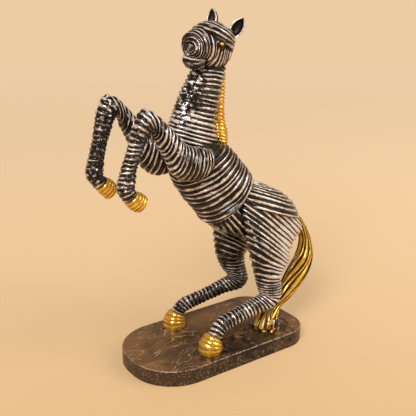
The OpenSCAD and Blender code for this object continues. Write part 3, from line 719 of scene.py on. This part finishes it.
def calc(operation, *values, kind="Math"):
    """A Math node over values of which one at least is a wire, or a Vector Math node."""
    tree = next(value.tree for value in values if isinstance(value, Wire))
    return put(tree, kind, {"operation": operation}, **{f"in{i}": value for i, value in enumerate(values)})


def distance(a, b):
    """How far apart two places are."""
    return calc("DISTANCE", a, b, kind="VectorMath")["Value"]


def smooth_step(value, low, high, to_low=0.0, to_high=1.0):
    """The value's smooth step between two bounds, carried to two others."""
    return put(value.tree, "MapRange", {"interpolation_type": "SMOOTHSTEP"}, Value=value,
               From_Min=low, From_Max=high, To_Min=to_low, To_Max=to_high)


def mix_colours(share, a, b):
    """A colour between two, by a share."""
    return put(share.tree, "Mix", {"data_type": "RGBA"}, in0=share, in6=a, in7=b)[2]


def noise(where, scale, detail=3.0, rough=0.55):
    """Noise at a place, from 0 to 1."""
    return put(where.tree, "TexNoise", Vector=where, Scale=scale, Detail=detail, Roughness=rough)


def own_place(tree):
    """The place in the object's own axes."""
    return put(tree, "TexCoord")["Object"]


def stored(tree, name):
    """The value that the mesh holds under a name."""
    return put(tree, "Attribute", {"attribute_name": name})["Fac"]


def bump(height, strength, lift):
    """The surface's normal, tilted by a height whose full range lifts it by a way."""
    return put(height.tree, "Bump", Strength=strength, Distance=lift, Height=height)


# How much paint and relief a place on a cord has to gather before its stain and its paint show
stain_edge = (0.80, 1.06)
paint_edge = (0.98, 1.2)


def dry_brush_group():
    """Where a dry brush leaves paint: high on each cord, streaked along it, in patches, in blots where the
    cord is rubbed, and less where the piece's shade says so. Stain is the thin edge of the paint further
    down the cord, and Height is the relief of its streaks and grains."""
    tree = bpy.data.node_groups.new("dry_brush", "ShaderNodeTree")
    for label, usual in (("Coverage", 0.5), ("Streaks", 0.3), ("Patches", 0.3)):
        socket = tree.interface.new_socket(name=label, in_out="INPUT", socket_type="NodeSocketFloat")
        socket.default_value = usual
    for label in ("Paint", "Stain", "Height"):
        tree.interface.new_socket(name=label, in_out="OUTPUT", socket_type="NodeSocketFloat")
    given = Wire(tree.nodes.new("NodeGroupInput"))
    cord = put(tree, "SeparateXYZ", in0=put(tree, "UVMap", {"uv_map": "cord"}))
    stretched = put(tree, "CombineXYZ", X=cord[0] * 190.0, Y=cord[1] * 8.0)
    body = own_place(tree)
    streak = noise(stretched, 1.0, 4.0, 0.6)
    patch = noise(body, 70.0)
    grain = noise(body, 1400.0, 2.0)
    blots = (noise(body, 260.0, 4.0, 0.6) - 0.325) * 4.2
    crest = calc("SINE", cord[1] * pi)
    total = put(tree, "Mix", {"data_type": "FLOAT"}, in0=stored(tree, "rubbed"), in2=crest, in3=blots)
    total = total + (streak - 0.5) * given["Streaks"] + (patch - 0.5) * given["Patches"]
    total = total + (grain - 0.5) * 0.25 - stored(tree, "shade") * 0.8 + given["Coverage"]
    feed(tree.nodes.new("NodeGroupOutput"), Paint=smooth_step(total, *paint_edge),
         Stain=smooth_step(total, *stain_edge), Height=streak * 0.6 + grain * 0.4)
    return tree


dry_brush = dry_brush_group()


def start_material(name):
    """A new material, its tree and its Principled shader."""
    material = bpy.data.materials.new(name)
    material.use_nodes = True
    return material, material.node_tree, material.node_tree.nodes["Principled BSDF"]


def cord_finish(name, paints, stain, under, coverage, streaks, patches, metal, rough, under_rough, coat=0.35,
                lift=0.00018):
    """Cords in a dark coat with a metal paint brushed over their crests and a stain at its edge. The paint
    mottles between its first two colours, and takes the third where the piece's shade is below nothing or it
    is rubbed: a thicker, whiter paint, partly a painted highlight."""
    material, tree, shader = start_material(name)
    group = {"node_tree": dry_brush}
    brushed = put(tree, "Group", group, Coverage=coverage, Streaks=streaks, Patches=patches)
    share = brushed["Paint"]
    tone = mix_colours(smooth_step(noise(own_place(tree), 260.0), 0.38, 0.62), paints[0], paints[1])
    # Whiter paint where the shade is below nothing or the cord is rubbed: partly thicker paint, partly a
    # painted highlight
    thick = calc("MAXIMUM", stored(tree, "shade") * -1.3, stored(tree, "rubbed"))
    tone = mix_colours(smooth_step(thick, 0.0, 0.8), tone, paints[2])
    edge = mix_colours(brushed["Stain"], under, stain)
    feed(shader, Base_Color=mix_colours(share, edge, tone), Metallic=share * metal,
         Roughness=smooth_step(share, 0.0, 1.0, under_rough, rough),
         Normal=bump(brushed["Height"], 0.6, lift), Coat_Weight=coat, Coat_Roughness=0.12,
         Specular_IOR_Level=0.3)
    return material


black = (0.006, 0.004, 0.003, 1)
brown = (0.075, 0.040, 0.024, 1)
# Each metal's two paint tones and a third; silver's whiter third tone is partly a painted highlight
silvers = ((1.0, 0.93, 0.86, 1), (0.64, 0.47, 0.37, 1), (1.0, 0.98, 0.97, 1))
golds = ((1.0, 0.70, 0.13, 1), (0.92, 0.44, 0.03, 1), (1.0, 0.72, 0.16, 1))
ochre = (0.45, 0.17, 0.012, 1)
dark_ochre = (0.26, 0.09, 0.007, 1)
silvery = (silvers, brown, black)
golden = (golds, ochre, dark_ochre)

# Each finish: its paints, their stain and the coat under them, then the paint's coverage, streaks and
# patches, how metallic and how rough it is, how rough the coat under it is, and, where they aren't the
# usual ones, the weight of the clear coat and the height of the relief
finishes = {name: cord_finish(name, *values) for name, values in {
    # More paint on the croup and the near thigh: partly a heavier dry brush, partly painted light where the
    # lamps fall on them
    "silver_thick_and_lit": (*silvery, 0.22, 0.8, 0.5, 0.5, 0.24, 0.14),
    "silver_trunk": (*silvery, 0.16, 0.8, 0.7, 0.5, 0.24, 0.13),
    "silver_leg": (*silvery, 0.13, 0.9, 0.9, 0.5, 0.24, 0.13),
    # Less paint on the far legs and the pelvis: partly a thinner dry brush, partly painted shade where they
    # lie away from the lamps
    "silver_far_shaded": (*silvery, 0.13, 0.9, 1.0, 0.5, 0.24, 0.13),
    "silver_head": (*silvery, 0.22, 0.7, 0.6, 0.5, 0.24, 0.15),
    "silver_ear": (*silvery, 0.2, 0.6, 0.5, 0.5, 0.26, 0.5, 0.1),
    "gold_hooves": (*golden, 0.7, 0.3, 0.4, 0.75, 0.16, 0.3, 0.35, 0.00008),
    "gold_cords": (*golden, 0.95, 0.6, 0.9, 0.8, 0.2, 0.35),
    "gold_strands": (golds, dark_ochre, black, 0.22, 0.6, 0.3, 0.65, 0.18, 0.2, 0.35, 0.0001)}.items()}

# Places on the plinth's top of the painted dark reflections and contact shade round the hooves and the tail's
# foot, and their reach
painted_foot_reflections = ((-0.021, -0.027, 0.016), (-0.018, 0.024, 0.012), (0.004, -0.031, 0.021),
              (0.027, -0.029, 0.023), (0.046, -0.024, 0.018))

# The plinth's dark and its warm resin, its scratches, its bent veins, its shaded side, its speckles, and its
# pale worn edge, partly a painted highlight
resin_dark = (0.070, 0.031, 0.013, 1)
resin_warm = (0.195, 0.086, 0.030, 1)
scratch = (0.34, 0.20, 0.11, 1)
vein = (0.50, 0.34, 0.20, 1)
side_dark = (0.022, 0.011, 0.006, 1)
speckle = (0.45, 0.30, 0.19, 1)
worn_edge_and_highlight = (0.50, 0.38, 0.29, 1)


def plinth_finish():
    """Brown resin: clouds of a dark and a warm tone, drawn scratches, thin veins that bend, a darker side,
    speckles, painted dark reflections and contact shade round the feet, and a pale worn edge that is partly a
    painted highlight."""
    material, tree, shader = start_material("plinth_finish")
    body = own_place(tree)
    clouds = noise(body, 30.0, 4.0)
    swirl = put(tree, "TexNoise", Vector=body, Scale=22.0, Detail=2.0)["Color"]
    bent = calc("MULTIPLY_ADD", swirl, (0.05, 0.05, 0), body, kind="VectorMath")
    drawn = put(tree, "Mapping", Vector=bent, Rotation=(0, 0, -0.25), Scale=(0.22, 1.5, 1))
    streaks = noise(drawn, 190.0, 6.0, 0.7)
    veins = noise(drawn, 75.0)
    specks = noise(body, 1000.0, 2.0)
    ragged = noise(body, 170.0, 5.0, 0.65)
    base = mix_colours(smooth_step(clouds, 0.34, 0.62), resin_dark, resin_warm)
    base = mix_colours(smooth_step(streaks, 0.56, 0.72) * 0.6, base, scratch)
    off_vein = calc("ABSOLUTE", veins - 0.5)
    base = mix_colours(smooth_step(off_vein, 0.0, 0.010, 0.7, 0.0), base, vein)
    height = put(tree, "SeparateXYZ", in0=body)[2]
    flank = smooth_step(height, plinth_t - plinth_edge_r, plinth_t - plinth_edge_r / 3, 1.0, 0.0)
    base = mix_colours(flank * smooth_step(ragged, 0.34, 0.6, 0.97, 0.75), base, side_dark)
    base = mix_colours(smooth_step(specks + flank * 0.06, 0.62, 0.70) * 0.4, base, speckle)
    # Painted dark reflections and contact shade round the hooves and the tail's foot
    for x, y, reach in painted_foot_reflections:
        edge = distance(body, (x, y, plinth_t)) + (ragged - 0.5) * (reach * 3)
        base = mix_colours(smooth_step(edge, reach * 0.6, reach * 0.8, 0.8, 0.0), base, black)
    # A pale worn edge, partly a painted highlight along it
    worn_edge_and_highlight_share = smooth_step(stored(tree, "shade") + noise(body, 420.0, 4.0) * 1.4, 1.4, 1.8)
    feed(shader, Base_Color=mix_colours(worn_edge_and_highlight_share * 0.6, base, worn_edge_and_highlight),
         Roughness=smooth_step(clouds, 0.36, 0.66, 0.1, 0.3) + streaks * 0.1,
         Normal=bump(streaks + specks, 0.4, 0.0002))
    return material


def bead_finish():
    """The eye beads' amber gold, slightly mottled."""
    material, tree, shader = start_material("amber_gold")
    tone = mix_colours(noise(own_place(tree), 900.0), (0.9, 0.35, 0.02, 1), (1.0, 0.62, 0.10, 1))
    feed(shader, Base_Color=tone, Metallic=0.9, Roughness=0.2)
    return material


def steel_finish():
    """Drawn steel: fine rings of roughness along the pin."""
    material, tree, shader = start_material("drawn_steel")
    drawn = put(tree, "Mapping", Vector=own_place(tree), Scale=(1, 1, 0.05))
    feed(shader, Base_Color=(0.6, 0.6, 0.6, 1), Metallic=1.0, Roughness=noise(drawn, 4000.0) * 0.3 + 0.2)
    return material


# The horse

def add_part(name, parts, node, look):
    """A piece in one of the cords' finishes."""
    make_piece(name, parts, node, finishes[look])


def add_form(node, turns, around, groove, seed, look, name=None, wander=0.18, **options):
    """A form wound from its first row to its last."""
    line = winding(node, [], [turns], seed, wander)
    form = wound(node, line, 0, turns, around, groove, seed, **options)
    add_part(name or f"{node}_cords", [form], node, look)


def neck_rubbed(points, place, angle):
    """Rubbed on the front and left of the neck above its root: a bell round that side's angle."""
    return bell(angle, -34, 0.62) * held(place / 1.5 - 0.6) * held(1 + 0.5 * lumps(points, 0.005, 8))


def leg_rubbed(most, seed):
    """Rubbed in patches along a leg, as lumps in space say, up to a share."""
    return lambda points, place, angle: held(0.45 + 1.3 * lumps(points, 0.007, seed)) * most


def belly(shade, amount=0.04):
    """A shade with more of it under the belly, by a power of the cosine of the angle: painted shade there,
    and partly less paint where a dry brush reaches less.
    """
    return lambda place, angle: shade(place, angle) + amount * held(-cos(angle)) ** 1.5


def add_trunk():
    """Barrel, pelvis, croup, neck and mane."""
    add_form("barrel", 15, 240, trunk_groove, 11, "silver_trunk", wander=0.28, across=14,
             lift=lambda passed: 0.0007 * held((passed - 12.9) / 0.25),
             shade=belly(near("barrel", [*arms, "neck"])))
    add_form("pelvis", 10, 200, trunk_groove, 12, "silver_far_shaded",
             shade=near("pelvis", ["barrel", "croup", *thighs], 0.0015))
    add_form("croup", 9, 240, trunk_groove, 13, "silver_thick_and_lit", across=14, shade=near("croup", ["barrel"]))
    neck_shade = near("neck", ["barrel", *arms, "face", "jaw"], 0.0026)
    # More paint at the neck's root, which also turns whiter: partly a heavier brush, partly a painted
    # highlight
    add_form("neck", 21, 180, trunk_groove, 14, "silver_trunk", rubbed=neck_rubbed,
             shade=lambda place, angle: neck_shade(place, angle) - 0.25 * held((3.2 - place) / 1.2))
    add_form("mane", 22, 72, leg_groove, 15, "gold_cords", wander=0.12, dents=0.0003,
             shade=near("mane", ["neck"], 0.001))


# The eyes' places in the head's axes
eyes = [eye_place * [1, side, 1] for side in (-1, 1)]


def eye_press(points):
    """A socket round each eye: a round hollow with a raised lid at its edge."""
    total = 0
    for eye in eyes:
        gap = np.linalg.norm(points - eye, axis=1)
        hollow, lid = exp(-(gap / socket_r) ** 2), exp(-((gap - lid_r) / lid_w) ** 2)
        total = total - socket_depth * hollow + lid_h * lid
    return total


def nose_rubbed(points, place, angle):
    """Rubbed towards the nose's tip, in lumps."""
    return 0.6 * held((place - 8.2) / 1.5) * held(0.3 + 1.8 * lumps(points, 0.004, 9))


def add_head():
    """Face, crown, jaw and ears."""
    # Less paint and painted shade in the eye sockets, and where the face meets the crown, the jaw and the
    # neck
    socket = painted("face", [in_frame(array(eyes), head_at)], 0.0052)
    meet = near("face", ["crown", "jaw", "neck"])

    def face_shade(place, angle):
        return maximum(meet(place, angle), held(1.6 * socket(place, angle))) + 0.14 * held((place - 6) / 2)
    add_part("face_cords", [wound(
        "face", winding("face", [8], [14, 5], 16, 0.34), 0, 19, 160, face_groove, 16, dents=0.0003,
        shade=face_shade, press=eye_press, rubbed=nose_rubbed)], "face", "silver_head")
    add_form("crown", 7, 160, face_groove, 17, "silver_trunk", wander=0.3, across=14,
             lift=lambda passed: 0.0005 * held((1.4 - passed) / 0.3),
             shade=near("crown", ["face"], 0.0012))
    add_form("jaw", 2, 120, hoof_groove, 18, "silver_head", across=20, dents=0.0003,
             rubbed=lambda points, place, angle: 0.7 * held(3.2 - place),
             shade=lambda place, angle: 0.2 - 0.65 * held((place - 3.5) / 0.25))
    for name, sizes in ears.items():
        add_part(f"ear_leaf_{name}", [ear_shape(*sizes)], f"ear_{name}", "silver_ear")


# A leg's cord runs on from length to length: each one but the first starts a turn early, inside the last
fore_lengths = (("arm", 20), ("forearm", 14), ("fore_pastern", 4))
hind_lengths = (("thigh", 16), ("gaskin", 6), ("cannon", 16), ("hind_pastern", 4))


def add_leg(leg, side, stops, lengths, seed, upper_look, shade, rubbed):
    """One leg's lengths, wound as one. The first is the upper leg, whose cord is finer meshed and never
    rubbed."""
    line = winding(leg, stops, [count for _, count in lengths], seed)
    passed = 0
    for name, count in lengths:
        if passed:
            around, groove, across, dents, worn, look = 108, leg_groove, 10, 0.00026, rubbed, "silver_leg"
        else:
            around, groove, across, dents, worn, look = 180, trunk_groove, 12, 0.00016, None, upper_look
        cords = wound(leg, line, max(passed - 1, 0), passed + count, around, groove, seed, across=across,
                      dents=dents, shade=shade, rubbed=worn)
        add_part(f"{name}_cords_{side}", [cords], f"{name}_{side}", look)
        passed += count


def brushed(shade, front, rear, start, end):
    """A shade with one amount more at a leg's front and another at its rear, by the cosine of the angle,
    between two rows. The side towards the light gets more paint and the other less: partly the brush's way,
    partly painted light and shade."""
    def both(place, angle):
        mix = (1 + cos(angle)) / 2
        between = held(place - start) * held(end - place)
        return shade(place, angle) + (front * mix + rear * (1 - mix)) * between
    return both


def flank_paint_and_highlight(shade):
    """A shade with thicker paint on the left thigh's outer rear: a bell round that side's angle. It is partly
    a painted highlight.
    """
    return lambda place, angle: shade(place, angle) - 0.42 * bell(angle, 238, 0.75)


# For each side: the upper legs' finishes, how far the lower legs are rubbed, and how much less paint their
# rear or underside gets, partly as painted shade. The far side's finishes have less paint, partly as painted
# shade too.
leg_looks = {
    "left": ("silver_trunk", "silver_thick_and_lit", 0.3, 0.32), "right": ("silver_far_shaded", "silver_far_shaded", 0.65, 0.3)}


def add_legs():
    """Both pairs of legs, and the hooves."""
    for i, (side, (arm, thigh, most, less)) in enumerate(leg_looks.items()):
        fore, hind = f"fore_{side}", f"hind_{side}"
        arm_shade = brushed(near(fore, ["barrel", "neck"]), -0.08, less, knee_index, len(forms[fore]))
        add_leg(fore, side, [knee_index, fore_fetlock_index], fore_lengths, 20 + i, arm, arm_shade,
                leg_rubbed(most, 60 + i))
        thigh_shade = near(hind, ["croup", "barrel", "pelvis"])
        # The left thigh: less paint at its front and more at its rear and outer flank, partly painted light
        # and shade
        if side == "left":
            thigh_shade = brushed(flank_paint_and_highlight(thigh_shade), 0.14, -0.15, -1, stifle_index)
        thigh_shade = brushed(thigh_shade, -0.12, less, stifle_index, len(forms[hind]))
        add_leg(hind, side, [stifle_index, hock_index, hind_fetlock_index], hind_lengths, 50 + i, thigh,
                thigh_shade, leg_rubbed(most / 2, 70 + i))
        for end in ("fore_hoof", "hind_hoof"):
            add_form(f"{end}_{side}", 4, 96, hoof_groove, 90 + i, "gold_hooves", f"{end}_cords_{side}")


def add_tail():
    """The tail's twisted strands, and the tuft that stands on the plinth."""
    strands = twisted(0, tail_end_index + 0.6, 220, 11, 14, 0.42, 0, tail_twist, 101)
    add_part("tail_strands", [strands], "tail", "gold_strands")
    core = twisted(tail_end_index, len(tail_rows) - 1, 60, 9, 10, 0.5, tail_twist, tail_twist + 30, 102, 0.2)
    core["shade"] += 0.15
    gold = [lock(i, 0) for i in range(lock_count) if i not in silver_locks]
    add_part("tail_tuft", [core] + gold, "tail_foot", "gold_strands")
    add_part("tuft_silver_locks", [lock(i, 0.4) for i in silver_locks], "tail_foot", "silver_leg")


def refinish_kept():
    """The eye beads and the pins keep their solids and get their finishes."""
    for finish, nodes in ((bead_finish(), ("eye_left", "eye_right")),
                          (steel_finish(), ("hoof_pin_left", "hoof_pin_right", "tail_pin"))):
        for node in nodes:
            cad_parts[node].data.materials.clear()
            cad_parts[node].data.materials.append(finish)


# Studio: the backdrop's colour, how much the floor glows with its own, how far reflections of both are
# dimmed, and the paper's tone near the camera and far off, darker and warmer near the camera as painted shade
peach = (0.839, 0.591, 0.366, 1)
floor_glow = 0.35
peach_dim = 0.4
paper_near = (0.56, 0.362, 0.180, 1)
paper_far = (1.0, 0.735, 0.475, 1)


def add_floor():
    """A wide round floor of paper, painted darker and warmer before the plinth and paler further on, as
    painted shade. Some way off it melts into the backdrop, and takes its colour to the camera and to
    reflections."""
    bpy.ops.mesh.primitive_circle_add(vertices=96, radius=30, fill_type="NGON")
    floor = bpy.context.object
    floor.name = "floor"
    material, tree, shader = start_material("floor_paper")
    body = own_place(tree)
    far = distance(body, (*camera_place[:2], 0))
    blend = put(tree, "MapRange", Value=calc("DIVIDE", far, far + 0.9), From_Min=0.3, From_Max=0.8)
    tone = mix_colours(blend, paper_near, paper_far)
    melt = smooth_step(distance(body, (0, 0, 0)), 0.5, 2.4)
    seen = put(tree, "LightPath")["Is Camera Ray"]
    shown = seen * (melt * (1 - floor_glow) + floor_glow)
    hidden = calc("SUBTRACT", 1.0, seen) * (melt * peach_dim)
    feed(shader, Base_Color=mix_colours(melt, tone, (0, 0, 0, 1)), Roughness=0.9, Specular_IOR_Level=0.1,
         Emission_Color=mix_colours(melt, tone, peach), Emission_Strength=shown + hidden)
    floor.data.materials.append(material)


def add_world():
    """Plain light from all round: full to matt surfaces, the backdrop's colour to the camera, and the same
    colour dimmed to reflections."""
    world = bpy.data.worlds.new("studio")
    bpy.context.scene.world = world
    world.use_nodes = True
    tree = world.node_tree
    tree.nodes.clear()
    path = put(tree, "LightPath")
    mirrored = calc("MAXIMUM", path["Is Glossy Ray"], path["Is Transmission Ray"])
    light = put(tree, "Background", Color=(1.0, 0.97, 0.93, 1), Strength=0.42)
    dimmed = put(tree, "Background", Color=peach, Strength=peach_dim)
    shown = put(tree, "Background", Color=peach, Strength=1.0)
    mix = put(tree, "MixShader", in0=mirrored, in1=light, in2=dimmed)
    mix = put(tree, "MixShader", in0=path["Is Camera Ray"], in1=mix, in2=shown)
    put(tree, "OutputWorld", in0=mix)


horse_middle = (0, 0, 0.12)


def add_lamp(name, place, size, power, colour):
    """A square soft lamp that points at the middle of the horse."""
    data = bpy.data.lights.new(name, "AREA")
    data.size, data.energy, data.color = size, power, colour
    lamp = bpy.data.objects.new(name, data)
    lamp.location = place
    lamp.rotation_euler = (Vector(horse_middle) - Vector(place)).to_track_quat("-Z", "Y").to_euler()
    bpy.context.scene.collection.objects.link(lamp)


add_world()
add_floor()
add_lamp("key", (-0.86, -0.68, 0.98), 0.65, 15.0, (1, 1, 1))
add_lamp("fill", (0.9, -0.9, 0.9), 1.0, 10.0, (1, 0.98, 0.96))
add_trunk()
add_head()
add_legs()
add_tail()
make_piece("plinth_slab", [plinth_shape()], "plinth", plinth_finish())
refinish_kept()

bpy.context.scene.view_settings.view_transform = "Standard"
